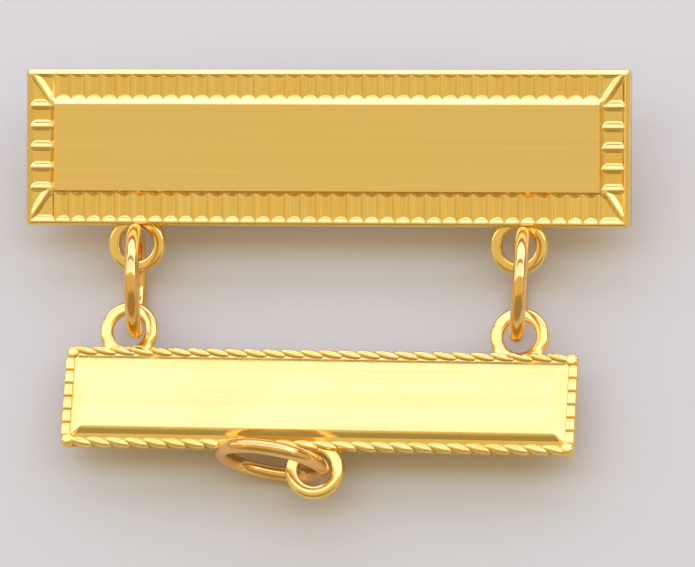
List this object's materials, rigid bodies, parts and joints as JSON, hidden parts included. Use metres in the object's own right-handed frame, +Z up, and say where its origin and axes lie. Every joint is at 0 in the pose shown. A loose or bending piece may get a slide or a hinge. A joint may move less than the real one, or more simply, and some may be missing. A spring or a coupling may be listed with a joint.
{
  "type": "masonic jewel",
  "caption": "Gilt jewel lying face up: a fluted pin bar, jump rings, a rope-edged lower bar and an open ring at its foot for a pendant.",
  "frame": {"origin": "on the table, under the middle of the jewel's bounding box", "axes": "+X along the bars, +Y from the lower bar to the upper bar, +Z up from the table; the jewel lies face up"},
  "size_m": [0.0412, 0.0292, 0.0078],
  "materials": {
    "gilt_bar": "cast relief, gilt, polished",
    "gilt_fitting": "gilt, plain",
    "gilt_wire": "round gilt wire, polished",
    "gilt_lower_bar": "gilt, panel finely brushed along its length"
  },
  "bodies": {
    "root": {"top_bar": "gilt_bar", "brooch_pin": "gilt_fitting", "jump_ring_left": "gilt_wire", "jump_ring_right": "gilt_wire", "name_bar": "gilt_lower_bar", "drop_ring": "gilt_wire"}
  },
  "joints": []
}
